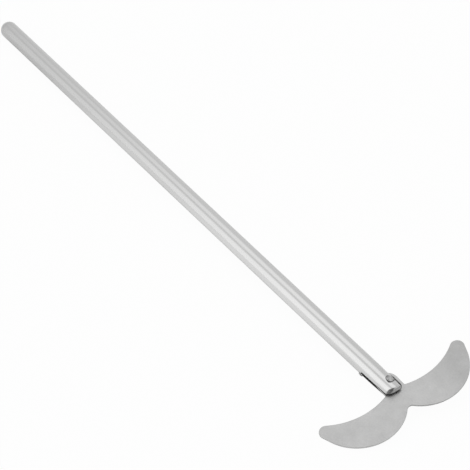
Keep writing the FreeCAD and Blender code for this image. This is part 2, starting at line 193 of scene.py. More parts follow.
class Graph:
    """A node tree that is emptied and built up node by node."""

    def __init__(self, owner: bpy.types.Material | bpy.types.World) -> None:
        """Start an empty graph.

        Args:
            owner: the material or the world whose node tree it is.
        """
        owner.use_nodes = True
        self.tree = owner.node_tree
        self.tree.nodes.clear()

    def node(
        self,
        kind: str,
        settings: dict[str, Any] | None = None,
        values: dict[str | int, Any] | None = None,
    ) -> bpy.types.Node:
        """Add any node.

        Args:
            kind: the node's type.
            settings: its own properties, such as a Math node's operation, which are set first.
            values: what goes into its input sockets, a value, a socket or a signal each.

        Returns:
            The new node.
        """
        made = self.tree.nodes.new(kind)
        for name, value in (settings or {}).items():
            setattr(made, name, value)
        for name, value in (values or {}).items():
            source = value.socket if isinstance(value, Signal) else value
            if isinstance(source, Socket):
                self.tree.links.new(source, made.inputs[name])
            else:
                made.inputs[name].default_value = source
        return made

    def place(self, turn: Triple = ORIGIN, scale: Triple = (1.0, 1.0, 1.0)) -> Socket:
        """Object coordinates, turned and then scaled for a pattern.

        Args:
            turn: rotation of the coordinates about X, Y and Z, in radians.
            scale: stretch of the pattern along each axis.

        Returns:
            The vector socket.
        """
        where = self.node("ShaderNodeTexCoord").outputs["Object"]
        for change, value in (("Rotation", turn), ("Scale", scale)):
            values = {"Vector": where, change: value}
            where = self.node("ShaderNodeMapping", {"vector_type": "POINT"}, values).outputs[0]
        return where

    def noise(self, where: Socket, scale: float, detail: float = 2.0, rough: float = 0.5) -> Signal:
        """Soft noise about 0, from -0.5 to 0.5.

        Args:
            where: the coordinates.
            scale: repeats for each metre.
            detail: number of finer layers.
            rough: how strong the finer layers are.

        Returns:
            The noise as a signal.
        """
        made = self.node(
            "ShaderNodeTexNoise", {"noise_dimensions": "3D"},
            {"Vector": where, "Scale": scale, "Detail": detail, "Roughness": rough},
        )
        return Signal(self, made.outputs[0]) - 0.5

    def along(self, direction: Triple | Array, origin: Triple | Array) -> Signal:
        """Distance in millimetres along a direction, by Object coordinates.

        Args:
            direction: unit vector of the direction.
            origin: point in metres where the distance is 0.

        Returns:
            The distance as a signal.
        """
        here = self.node("ShaderNodeTexCoord").outputs["Object"]
        made = self.node(
            "ShaderNodeVectorMath", {"operation": "DOT_PRODUCT"},
            {0: here, 1: tuple(float(value) / MM for value in direction)},
        )
        return Signal(self, made.outputs["Value"]) - float(np.dot(direction, origin)) / MM

    def attribute(self, name: str) -> Signal:
        """A number stored on the mesh, by its attribute's name."""
        settings = {"attribute_type": "GEOMETRY", "attribute_name": name}
        return Signal(self, self.node("ShaderNodeAttribute", settings).outputs["Fac"])

    def tint(self, amount: Signal, low: Triple | Socket, high: Triple) -> Socket:
        """Colour between two colours.

        Args:
            amount: 0 gives the low colour and 1 the high one.
            low: first colour, linear red, green, blue, or a colour socket.
            high: second colour.

        Returns:
            The colour socket.
        """
        start = low if isinstance(low, Socket) else (*low, 1.0)
        made = self.node(
            "ShaderNodeMix", {"data_type": "RGBA", "clamp_factor": True},
            {0: amount, 6: start, 7: (*high, 1.0)},
        )
        return made.outputs[2]

    def blend(self, amount: Signal, first: Socket, second: Socket) -> Socket:
        """Mix of two shaders: an amount of 0 gives the first and 1 the second."""
        return self.node("ShaderNodeMixShader", {}, {0: amount, 1: first, 2: second}).outputs[0]


# ---- finishes


@dataclass(frozen=True)
class SteelFinish:
    """A bare stainless steel surface, with its grain, its mottling and shade painted in its
    hollows.

    A pattern's tone, rough and height are how far it changes the colour, the roughness and, in
    metres, the surface. The fine mottling's are shares of the mottling's and the grain's.
    """

    name: str
    slot: str
    tone: float
    roughness: float
    grain_scale: Triple
    grain_tone: float
    grain_rough: float
    grain_height: float
    mottle_scale: float
    mottle_tone: float
    mottle_rough: float
    grain_turn: Triple = ORIGIN
    fine_ratio: float = 9.0
    fine_tone: float = 0.6
    fine_height: float = 0.4
    tone_span: float = 0.5
    blue: float = 0.995
    # painted shade's colour, and how much rougher and less metallic it makes the steel
    painted_shade_colour: Triple = (0.01, 0.0098, 0.0095)
    painted_shade_rough: float = 0.6
    painted_shade_dull: float = 0.3

    def material(self, shade_by_place: Callable[[Graph], Signal] | None = None) -> bpy.types.Material:
        """Build the finish.

        Base colour is the plain tone, plus the grain and the mottling, and it goes to near black,
        as painted shade, where the mesh's attribute "soil" is 1. Roughness follows the same three.
        All noise runs from -0.5 to 0.5, so it counts twice.

        Args:
            shade_by_place: gives more painted shade by place, from 0 to 1; none if left out.

        Returns:
            The material.
        """
        made = bpy.data.materials.new(self.name)
        graph = Graph(made)
        plain = graph.place()
        lined = graph.place(self.grain_turn, self.grain_scale)
        grain = graph.noise(lined, 1.0, detail=3.0, rough=0.6)
        mottle = graph.noise(plain, self.mottle_scale, detail=4.0, rough=0.55)
        fine = graph.noise(plain, self.mottle_scale * self.fine_ratio)
        # painted shade: the mesh's attribute, plus the shade painted by place on the blade
        painted_shade = graph.attribute("painted_shade")
        if shade_by_place is not None:
            painted_shade = (painted_shade + shade_by_place(graph)).clamp()
        spots = mottle * self.mottle_tone + fine * (self.fine_tone * self.mottle_tone)
        shade = (grain * self.grain_tone + spots) * 2.0 + 0.5
        dark = self.tone * (1.0 - self.tone_span)
        light = self.tone * (1.0 + self.tone_span)
        bare = graph.tint(shade, (dark, dark, dark * self.blue), (light, light, light * self.blue))
        # the colour goes towards near black where shade is painted
        with_painted_shade = graph.tint(painted_shade, bare, self.painted_shade_colour)
        varied = (grain * self.grain_rough + mottle * self.mottle_rough) * 2.0
        rough = varied + self.roughness + painted_shade * self.painted_shade_rough
        height = grain * self.grain_height + fine * (self.fine_height * self.grain_height)
        relief = {"Strength": 1.0, "Distance": 1.0, "Height": height}
        bump = graph.node("ShaderNodeBump", {}, relief)
        shader = graph.node(
            "ShaderNodeBsdfPrincipled", {"distribution": "MULTI_GGX"},
            {
                "Base Color": with_painted_shade,
                "Metallic": 1.0 - painted_shade * self.painted_shade_dull,
                "Roughness": rough.clamp(),
                "Normal": bump.outputs[0],
            },
        )
        graph.node("ShaderNodeOutputMaterial", {}, {"Surface": shader.outputs[0]})
        return made


# ---- meshes


@dataclass(frozen=True)
class BarFrame:
    """The bar's own frame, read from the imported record: its three directions and its origin."""

    turn: Array
    origin: Array

    @staticmethod
    def read(record: dict[str, Any]) -> "BarFrame":
        """Work out the frame from the mount on the bar and the blade's hinge.

        Args:
            record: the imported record.

        Returns:
            The frame: X against the mount's axis, Z along the hinge's, Y square to both.
        """
        mount = record["mounts"][0]
        hinge = record["behaviour"]["joints"][0]
        along = -np.array(mount["axis"], float)
        along /= np.linalg.norm(along)
        up = np.array(hinge["axis"], float)
        up -= along * (up @ along)
        up /= np.linalg.norm(up)
        turn = np.column_stack([along, np.cross(up, along), up])
        return BarFrame(turn, np.array(mount["pos_m"], float))

    def to_scene(self, points: Array) -> Array:
        """Points in the bar's frame, in millimetres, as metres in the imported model's frame."""
        return points @ self.turn.T * MM + self.origin


@dataclass
class Draft:
    """Blocks of points and faces that become one mesh."""

    points: list[Array] = field(default_factory=list)
    painted_shades: list[Array] = field(default_factory=list)
    faces: list[list[int]] = field(default_factory=list)
    count: int = 0

    def add(self, points: Array, faces: Array, painted_shade: Array | None = None) -> None:
        """Add a block.

        Args:
            points: the block's points, one row each.
            faces: the block's faces as rows of indexes into its own points.
            painted_shade: how much painted shade each point has, from 0 to 1; none if left out.
        """
        self.points.append(points)
        self.painted_shades.append(np.zeros(len(points)) if painted_shade is None else painted_shade)
        self.faces.extend((faces + self.count).tolist())
        self.count += len(points)

    def grid(self, points: Array, closed: bool = False, painted_shade: Array | None = None) -> None:
        """Add a surface given as a grid of points, and join neighbours by four-sided faces.

        Args:
            points: array of rows by columns by 3.
            closed: whether the last column joins the first.
            painted_shade: how much painted shade each point has, rows by columns.
        """
        rows, columns = points.shape[:2]
        index = np.arange(rows * columns).reshape(rows, columns)
        if closed:
            index = np.concatenate([index, index[:, :1]], axis=1)
        four = [index[:-1, :-1], index[1:, :-1], index[1:, 1:], index[:-1, 1:]]
        quads = np.stack(four, axis=-1).reshape(-1, 4)
        self.add(points.reshape(-1, 3), quads, None if painted_shade is None else painted_shade.reshape(-1))

    def build(
        self, name: str, here: BarFrame, material: bpy.types.Material, sharp: float
    ) -> bpy.types.Object:
        """Make the object: weld equal points, turn all faces outwards and shade them smooth.

        Args:
            name: name of the piece.
            here: the frame that its points are in.
            material: its finish.
            sharp: edges that turn by more than this many degrees stay sharp.

        Returns:
            The object, at the origin, unturned and unscaled.
        """
        mesh = bpy.data.meshes.new(name)
        mesh.from_pydata(here.to_scene(np.concatenate(self.points)), [], self.faces)
        # the painted shade of each point, which the finish turns towards near black
        painted_shade = mesh.attributes.new("painted_shade", "FLOAT", "POINT")
        painted_shade.data.foreach_set("value", np.concatenate(self.painted_shades).astype(np.float32))
        shell = bmesh.new()
        shell.from_mesh(mesh)
        bmesh.ops.remove_doubles(shell, verts=shell.verts, dist=WELD)
        bmesh.ops.recalc_face_normals(shell, faces=shell.faces)
        shell.to_mesh(mesh)
        shell.free()
        mesh.shade_smooth()
        mesh.set_sharp_from_angle(angle=math.radians(sharp))
        mesh.materials.append(material)
        return put(name, mesh)


def put(name: str, data: bpy.types.ID) -> bpy.types.Object:
    """Make an object and put it into the scene.

    Args:
        name: its name.
        data: its mesh or camera.

    Returns:
        The object.
    """
    made = bpy.data.objects.new(name, data)
    bpy.context.scene.collection.objects.link(made)
    return made


def spread(start: float, end: float, count: int) -> Array:
    """Even steps from start to end, both kept."""
    return np.linspace(start, end, count + 1)


def join(x: Array, y: Array, z: float | Array) -> Array:
    """Points from their three parts, which are spread to one shape."""
    return np.stack(np.broadcast_arrays(x, y, z), axis=-1)


def ring(radius: float | Array, turn: Array, height: Array) -> Array:
    """Points (height, radius cos turn, radius sin turn) round the bar, turned from Y towards Z."""
    return join(height, radius * np.cos(turn), radius * np.sin(turn))


def around(centre: Pair | Array, radius: float | Array, turn: Array) -> tuple[Array, Array]:
    """Both parts of points in the plane, at a radius and a turn in radians about a centre."""
    return centre[0] + radius * np.cos(turn), centre[1] + radius * np.sin(turn)


def arc_points(centre: Pair | Array, radius: float, ends: Pair, count: int) -> Array:
    """Points along an arc of a circle in the plane, between two angles in radians."""
    return np.stack(around(centre, radius, spread(*ends, count)), axis=-1)


def lifted(flat: Array, level: float | Array) -> Array:
    """Points of the plane at a level."""
    return join(flat[..., 0], flat[..., 1], level)


def trim_edges(piece: bpy.types.Object, width: float, segments: int, angle: float) -> None:
    """Give the sharp edges of a piece a small round.

    Args:
        piece: the piece.
        width: width of the round, in millimetres.
        segments: number of faces across it.
        angle: edges that turn by more than this many degrees get it.
    """
    trim = piece.modifiers.new("edge_break", "BEVEL")
    trim.width = width * MM
    trim.segments = segments
    trim.limit_method = "ANGLE"
    trim.angle_limit = math.radians(angle)
    trim.harden_normals = True


# ---- pieces


@dataclass(frozen=True)
class SawnEnd:
    """How the bar's slotted end was sawn a little out of square. Sizes in millimetres.

    The end moves along the bar by the skew times the distance from the middle across it, less the
    filing times the distance beyond a place on the left.
    """

    skew: float = 0.13
    middle: float = -0.5
    filing: float = 0.25
    filed_from: float = -1.5


@dataclass
class RoundBar:
    """The ground bar with its domed top end and the slot in its lower end. Sizes in millimetres.

    A shade is how much painted shade a surface has, from 0 to 1: the slot is painted dark, as the
    shade inside it. Steps are the faces along a run or round a bend. The burr's place is from the
    middle of the bottom of the slot.
    """

    finish: SteelFinish
    reach: float = 345.0
    radius: float = 5.0
    taper_length: float = 15.0
    taper_angle: float = 1.8
    end_round: float = 1.7
    slot_depth: float = 20.2
    slot_width: float = 2.4
    root_round: float = 0.4
    edge_break: float = 0.1
    edge_segments: int = 2
    edge_from: float = 50.0
    sharp_from: float = 35.0
    sawn: SawnEnd = SawnEnd()
    slant_start: float = 9.0
    slant_run: float = 8.0
    burr_size: Triple = (1.3, 0.75, 0.7)
    burr_place: Triple = (-0.5, -4.8, -1.2)
    burr_waves: Pair = (3.0, 5.0)
    burr_ripple: float = 0.18
    burr_contrast: float = 2.0
    burr_shade: float = 0.8
    burr_steps: tuple[int, int] = (10, 16)
    mouth_shade: float = 0.75
    lead: float = 0.5
    columns: int = 56
    rows: int = 48
    dome_steps: int = 20
    root_steps: int = 6
    flat_steps: int = 4
    side_steps: int = 8
    taper_steps: int = 24
    round_steps: int = 12
    face_steps: int = 6

    def slant(self, points: Array) -> Array:
        """Points of the slotted end, moved along the bar as it was sawn.

        The move comes in smoothly down to the end: it is times 3 s squared less 2 s cubed, with s
        the share of the run over which it comes in.

        Args:
            points: surface points about the bar.

        Returns:
            The moved points.
        """
        across = points[..., 1]
        share = np.clip((points[..., 0] - self.reach + self.slant_start) / self.slant_run, 0.0, 1.0)
        filed = self.sawn.filing * np.maximum(self.sawn.filed_from - across, 0.0)
        move = self.sawn.skew * (across - self.sawn.middle) - filed
        down = np.array([1.0, 0.0, 0.0])
        return points + (move * share * share * (3.0 - 2.0 * share))[..., None] * down

    def burr(self, draft: Draft) -> None:
        """Add the small burr that the saw left beside the bottom of the slot.

        A squashed ball, whose radius swells with the sine of its turn and lean, each times its
        waves. The swollen places are painted dark, as shade at the root of the slot.

        Args:
            draft: the mesh that it goes into.
        """
        rows, columns = self.burr_steps
        lean = spread(0.0, math.pi, rows)[:, None]
        turn = spread(0.0, 2 * math.pi, columns)[:-1][None, :]
        ball = join(np.cos(lean), np.sin(lean) * np.cos(turn), np.sin(lean) * np.sin(turn))
        wave = np.sin(self.burr_waves[0] * turn + self.burr_waves[1] * lean)
        form = ball * (1.0 + self.burr_ripple * wave[..., None]) * np.array(self.burr_size)
        middle = np.array([self.reach - self.slot_depth, 0.0, 0.0]) + np.array(self.burr_place)
        # painted shade in stripes where the burr swells, at the root of the slot
        painted_shade = np.clip(self.burr_contrast * wave, 0.0, self.burr_shade)
        draft.grid(form + middle, closed=True, painted_shade=painted_shade)

    def slot_floor(self) -> tuple[Array, Array]:
        """Profile of the bottom of the slot, from its lower wall to its upper one.

        The middle is flat and square to the bar, and a quarter circle leads into each wall:
        the height is the flat's plus the round's radius times the sine of its angle, and the place
        along the bar grows by the radius times one minus the cosine.

        Returns:
            Heights and places along the bar.
        """
        flat = self.slot_width / 2 - self.root_round
        bend = spread(0.0, math.pi / 2, self.root_steps)
        rise = flat + self.root_round * np.sin(bend)
        along = self.root_round * (1.0 - np.cos(bend))
        middle = spread(-flat, flat, self.flat_steps)[1:-1]
        root = self.reach - self.slot_depth
        height = np.concatenate([-rise[::-1], middle, rise])
        place = root + np.concatenate([along[::-1], np.zeros(len(middle)), along])
        return height, place

    def lower_side(self, start: float) -> tuple[Array, Array]:
        """Profile of the slotted end's side, from a place beside the slot to the end face.

        The side is level up to the taper and then falls by the taper's tangent. The end round
        touches the taper: its centre lies its own radius in from the end face, and below the bar's
        radius by the round plus the taper's run times its sine, over its cosine. The cosine and the
        sine of the angle round it, times its radius, give the place and the height.

        Args:
            start: where the profile starts.

        Returns:
            Places along the bar and radii.
        """
        lean = math.radians(self.taper_angle)
        taper = self.reach - self.taper_length
        middle = self.reach - self.end_round
        drop = (self.end_round + (middle - taper) * math.sin(lean)) / math.cos(lean)
        level = spread(start, taper, self.side_steps)[:-1]
        slope = spread(taper, middle + self.end_round * math.sin(lean), self.taper_steps)[:-1]
        bend = spread(math.pi / 2 - lean, 0.0, self.round_steps)
        place = np.concatenate([level, slope, middle + self.end_round * np.cos(bend)])
        size = np.concatenate([
            np.full(self.side_steps, self.radius),
            self.radius - (slope - taper) * math.tan(lean),
            self.radius - drop + self.end_round * np.sin(bend),
        ])
        return place, size

    def body(self, draft: Draft) -> None:
        """Add the dome and the round side down to the slot.

        Each row is a circle about the axis. On the dome its radius is the bar's times the sine of
        the angle from the tip, and it lies back from the dome's centre by the cosine. The last row
        follows the bottom of the slot between the two cheeks.

        Args:
            draft: the mesh that they go into.
        """
        height, place = self.slot_floor()
        side = np.arcsin(height / self.radius)
        start = side[-1]
        cheek = spread(start, math.pi - start, self.columns)
        turn = np.concatenate([side, cheek[1:-1], math.pi - side[::-1], math.pi + cheek[1:-1]])
        ends = np.full(len(turn), place[-1])
        count = len(side)
        far = count + len(cheek) - 2
        ends[:count], ends[far:far + count] = place, place[::-1]
        lean = spread(0.0, math.pi / 2, self.dome_steps)[:, None]
        dome = ring(self.radius * np.sin(lean), turn[None, :], -self.radius * np.cos(lean))
        run = spread(0.0, self.reach - self.slot_depth - self.lead, self.rows)[1:, None]
        straight = ring(self.radius, turn[None, :], run)
        last = ring(self.radius, turn[None, :], ends[None, :])
        draft.grid(np.concatenate([dome, straight, last]), closed=True)

    def slot_bottom(self, draft: Draft) -> None:
        """Add the bottom of the slot.

        Across the bar it reaches from side to side: half its width is the square root of the bar's
        radius squared less the height squared.

        Args:
            draft: the mesh that it goes into.
        """
        height, place = (row[:, None] for row in self.slot_floor())
        wide = np.sqrt(self.radius ** 2 - height ** 2) * spread(-1.0, 1.0, self.columns)[None, :]
        # the slot's bottom is painted fully dark, as the shade inside the slot
        draft.grid(join(place, wide, height), painted_shade=np.ones(wide.shape))

    def cheek(self, draft: Draft, side: float) -> None:
        """Add one cheek beside the slot.

        A cross section is the arc of a circle over the chord at the slot's wall, and the circle's
        radius follows the profile of the side. The end face is ruled between its arc and its chord.

        Args:
            draft: the mesh that it goes into.
            side: 1 for the upper cheek and -1 for the lower one.
        """
        half = self.slot_width / 2
        profile = self.lower_side(self.reach - self.slot_depth + self.root_round)
        along, size = (row[:, None] for row in profile)
        edge = np.arcsin(half / size)
        sweep = math.pi - edge - (math.pi - 2.0 * edge) * spread(0.0, 1.0, self.columns)[None, :]
        outer = ring(size, sweep, along)
        chord = np.sqrt(size ** 2 - half ** 2) * spread(-1.0, 1.0, self.columns)[None, :]
        inner = join(along, chord, half)
        blend = spread(0.0, 1.0, self.face_steps)[:, None, None]
        cap = outer[-1][None] * (1.0 - blend) + inner[-1][None] * blend
        flip = np.array([1.0, 1.0, side])
        # the slot's walls are painted dark, as shade, darkest deep in the slot
        depth = np.clip((self.reach - along) / self.slot_depth, 0.0, 1.0)
        painted_shade = np.broadcast_to(self.mouth_shade + (1.0 - self.mouth_shade) * depth, chord.shape)
        draft.grid(self.slant(outer * flip))
        draft.grid(self.slant(inner * flip), painted_shade=painted_shade)
        draft.grid(self.slant(cap * flip))

    def make(self, here: BarFrame) -> bpy.types.Object:
        """Build the bar and dress it.

        Args:
            here: the bar's frame.

        Returns:
            The bar, in place of the CAD node.
        """
        draft = Draft()
        self.body(draft)
        self.slot_bottom(draft)
        for side in (1.0, -1.0):
            self.cheek(draft, side)
        self.burr(draft)
        piece = draft.build("shaft_bar", here, self.finish.material(), self.sharp_from)
        trim_edges(piece, self.edge_break, self.edge_segments, self.edge_from)
        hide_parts(Node.SHAFT.value)
        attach(piece, Body.SHAFT.value)
        return piece


@dataclass(frozen=True)
class TongueShade:
    """Painted shadow on the blade's tongue in the slot, which shows as a dark seam beside the
    cheek.

    Places are in millimetres down the bar and across it. With u the place down the bar beyond the
    start, less the slant of the sawn end, and y the place across, the seam covers where the fourth
    powers of u over the length and of y over the half width add up to less than about 1. The
    tongue's left edge is painted dark, as the slot's shadow, only above the seam. The lobe to the
    right is painted a little darker and duller, as shade.
    """

    sawn: SawnEnd = SawnEnd()
    start: float = 338.0
    length: float = 6.55
    half_width: float = 5.85
    power: float = 4.0
    rim: Pair = (0.92, 1.12)
    seam_down: Pair = (334.5, 338.0)
    seam_across: Pair = (-4.2, -3.2)
    seam_amount: float = 0.82
    patch_scale: float = 1300.0
    patch_swing: float = 1.3
    patch_middle: float = 0.8
    edge_outer: Pair = (-8.0, -7.0)
    edge_inner: Pair = (-4.6, -3.8)
    edge_down: Pair = (334.5, 338.5)
    lobe_across: Pair = (12.0, 40.0)
    lobe_amount: float = 0.09

    def shade_by_place(self, here: BarFrame, graph: Graph) -> Signal:
        """Add the painted shadow's nodes to a finish.

        Args:
            here: the bar's frame.
            graph: the finish's graph.

        Returns:
            The painted shade by place, from 0 to 1.
        """
        down = graph.along(here.turn[:, 0], here.origin)
        across = graph.along(here.turn[:, 1], here.origin)
        filed = (across * -1.0 + self.sawn.filed_from).at_least(0.0) * self.sawn.filing
        slant = (across - self.sawn.middle) * self.sawn.skew
        past = (down - self.start - slant + filed).at_least(0.0) / self.length
        form = past ** self.power + (across / self.half_width) ** self.power
        patchy = graph.noise(graph.place(), self.patch_scale, detail=1.0)
        patchy = patchy * self.patch_swing + self.patch_middle
        # painted shadow of the cheek on the tongue, a dark seam beside and under it
        seam = (1.0 - form.ease(*self.rim)) * down.ease(*self.seam_down)
        seam = seam * across.ease(*self.seam_across) * patchy
        # painted shadow of the slot along the tongue's left edge
        edge = across.band(self.edge_outer, self.edge_inner)
        edge = edge * (1.0 - down.ease(*self.edge_down))
        # painted shade: the lobe to the right a little darker and duller
        lobe_shade = across.ease(*self.lobe_across) * self.lobe_amount
        return (seam * self.seam_amount + edge).clamp() + lobe_shade


@dataclass
class SheetBlade:
    """The two-lobed sheet blade that swings in the slot. Sizes in millimetres and degrees.

    The arc steps are the faces round the notch, the lobe, the tip, the brow, the neck and the
    tongue's top.
    """

    finish: SteelFinish
    painted_shade: TongueShade = TongueShade()
    pivot: Triple = (340.0, 1.0, -0.6)
    rest_turn: float = -2.7
    thickness: float = 1.0
    hole_radius: float = 1.6
    lobe_radius: float = 25.0
    lobe_offset: float = 20.0
    lobe_rise: float = 1.0
    side_lean: float = 21.0
    tip_round: float = 3.75
    brow_radius: float = 38.4
    brow_offset: float = 18.0
    brow_drop: float = 5.5
    notch_round: float = 2.5
    neck_round: float = 1.0
    tongue_half: float = 6.2
    tongue_top: float = 8.5
    left_trim: float = 0.7
    edge_break: float = 0.12
    face_margin: float = 0.35
    sharp_from: float = 35.0
    arc_steps: tuple[int, ...] = (16, 120, 30, 110, 10, 30)
    edge_steps: int = 4
    hole_steps: int = 64

    def half_outline(self, tongue_half: float) -> Array:
        """One half of the blade's edge about its rivet, X down the blade and Y across it.

        It is a chain of arcs and straight lines that touch without a corner: notch, lobe, leaning
        outer edge, tip round, hollow brow, neck, side of the tongue and its round top.

        Args:
            tongue_half: half the width of the tongue, and its top radius.

        Returns:
            The points from the notch to the top of the tongue, in order.
        """
        lean = math.radians(self.side_lean)
        lobe = (-self.lobe_rise, self.lobe_offset)
        brow = (self.brow_drop - self.brow_radius, self.brow_offset)
        reach = self.lobe_radius + self.notch_round
        notch = (lobe[0] + math.sqrt(reach ** 2 - lobe[1] ** 2), 0.0)
        touch = math.atan2(lobe[1] - notch[1], lobe[0] - notch[0])
        normal = np.array([math.sin(lean), math.cos(lean)])
        slope = np.array([-math.cos(lean), math.sin(lean)])
        start = np.array(lobe) + self.lobe_radius * normal
        inner = start - self.tip_round * normal
        gap = inner - np.array(brow)
        part = float(gap @ slope)
        reach = self.brow_radius + self.tip_round
        run = -part - math.sqrt(part ** 2 - float(gap @ gap) + reach ** 2)
        tip = inner + run * slope
        tip_turn = math.atan2(brow[1] - tip[1], brow[0] - tip[0])
        neck_y = tongue_half + self.neck_round
        reach = self.brow_radius - self.neck_round
        neck_x = brow[0] + math.sqrt(reach ** 2 - (neck_y - brow[1]) ** 2)
        neck_turn = math.atan2(neck_y - brow[1], neck_x - brow[0])
        side_turn = math.atan2(normal[1], normal[0])
        top = (tongue_half - self.tongue_top, 0.0)
        full = 2 * math.pi
        arcs = [
            (notch, self.notch_round, (math.pi, touch)),
            (lobe, self.lobe_radius, (touch - math.pi, side_turn)),
            (tip, self.tip_round, (side_turn, tip_turn % full)),
            (brow, self.brow_radius, ((tip_turn + math.pi) % full, neck_turn)),
            ((neck_x, neck_y), self.neck_round, (neck_turn, -math.pi / 2)),
            (top, tongue_half, (math.pi / 2, math.pi)),
        ]
        edge = np.concatenate([arc_points(*arc, count) for arc, count in zip(arcs, self.arc_steps)])
        far = np.linalg.norm(np.diff(edge, axis=0, prepend=edge[:1] - 1.0), axis=1)
        return edge[far > SAME]

    def outline(self) -> Array:
        """The blade's whole edge: one half, then the other's mirror image with a narrower tongue.

        Returns:
            The closed outline's points, in order.
        """
        right = self.half_outline(self.tongue_half)
        left = self.half_outline(self.tongue_half - self.left_trim)
        return np.concatenate([right, left[-2:0:-1] * np.array([1.0, -1.0])])

    def wall(self) -> Array:
        """The blade's edge as a grid about its rivet, from the upper face to the lower one.

        The outline is moved inwards along its normal, and up or down, through a quarter circle at
        each face. The first row and the last lie in the faces.

        Returns:
            The grid's points.
        """
        edge = self.outline()
        ahead = np.roll(edge, -1, axis=0)
        along = ahead - np.roll(edge, 1, axis=0)
        along /= np.linalg.norm(along, axis=1)[:, None]
        inward = np.stack([-along[:, 1], along[:, 0]], axis=-1)
        area = float(np.sum(edge[:, 0] * ahead[:, 1] - ahead[:, 0] * edge[:, 1]))
        inward *= math.copysign(1.0, area)
        half = self.thickness / 2
        bend = spread(0.0, math.pi / 2, self.edge_steps)
        margin = self.edge_break + self.face_margin
        offset = self.edge_break * (1.0 - np.sin(bend))
        level = half - self.edge_break * (1.0 - np.cos(bend))
        offset = np.concatenate([[margin], offset, offset[::-1], [margin]])
        level = np.concatenate([[half], level, -level[::-1], [-half]])
        flat = edge[None] + inward[None] * offset[:, None, None]
        return lifted(flat, level[:, None])

    def at_rest(self, points: Array) -> Array:
        """Points about the rivet, turned about it as the blade rests and moved to its place.

        Args:
            points: points with X down the blade and Y across it.

        Returns:
            The same points in the bar's frame.
        """
        turn = math.radians(self.rest_turn)
        spin = np.array([
            [math.cos(turn), -math.sin(turn), 0.0],
            [math.sin(turn), math.cos(turn), 0.0],
            [0.0, 0.0, 1.0],
        ])
        return points @ spin.T + np.array(self.pivot)

    def make(self, here: BarFrame) -> bpy.types.Object:
        """Build the blade and dress it: its edge, the rivet's hole and the two flat faces.

        Args:
            here: the bar's frame.

        Returns:
            The blade, in place of the CAD node.
        """
        half = self.thickness / 2
        wall = self.wall()
        hole = arc_points((0.0, 0.0), self.hole_radius, (0.0, 2 * math.pi), self.hole_steps)[:-1]
        draft = Draft()
        draft.grid(self.at_rest(wall), closed=True)
        draft.grid(self.at_rest(lifted(hole, np.array([[half], [-half]]))), closed=True)
        for row, level in ((0, half), (-1, -half)):
            loops = [wall[row, :, :2], hole]
            faces = np.array(tessellate_polygon([lifted(loop, 0.0).tolist() for loop in loops]))
            draft.add(self.at_rest(lifted(np.concatenate(loops), level)), faces)
        steel = self.finish.material(partial(self.painted_shade.shade_by_place, here))
        piece = draft.build("blade_sheet", here, steel, self.sharp_from)
        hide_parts(Node.BLADE.value)
        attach(piece, Body.BLADE.value)
        return piece


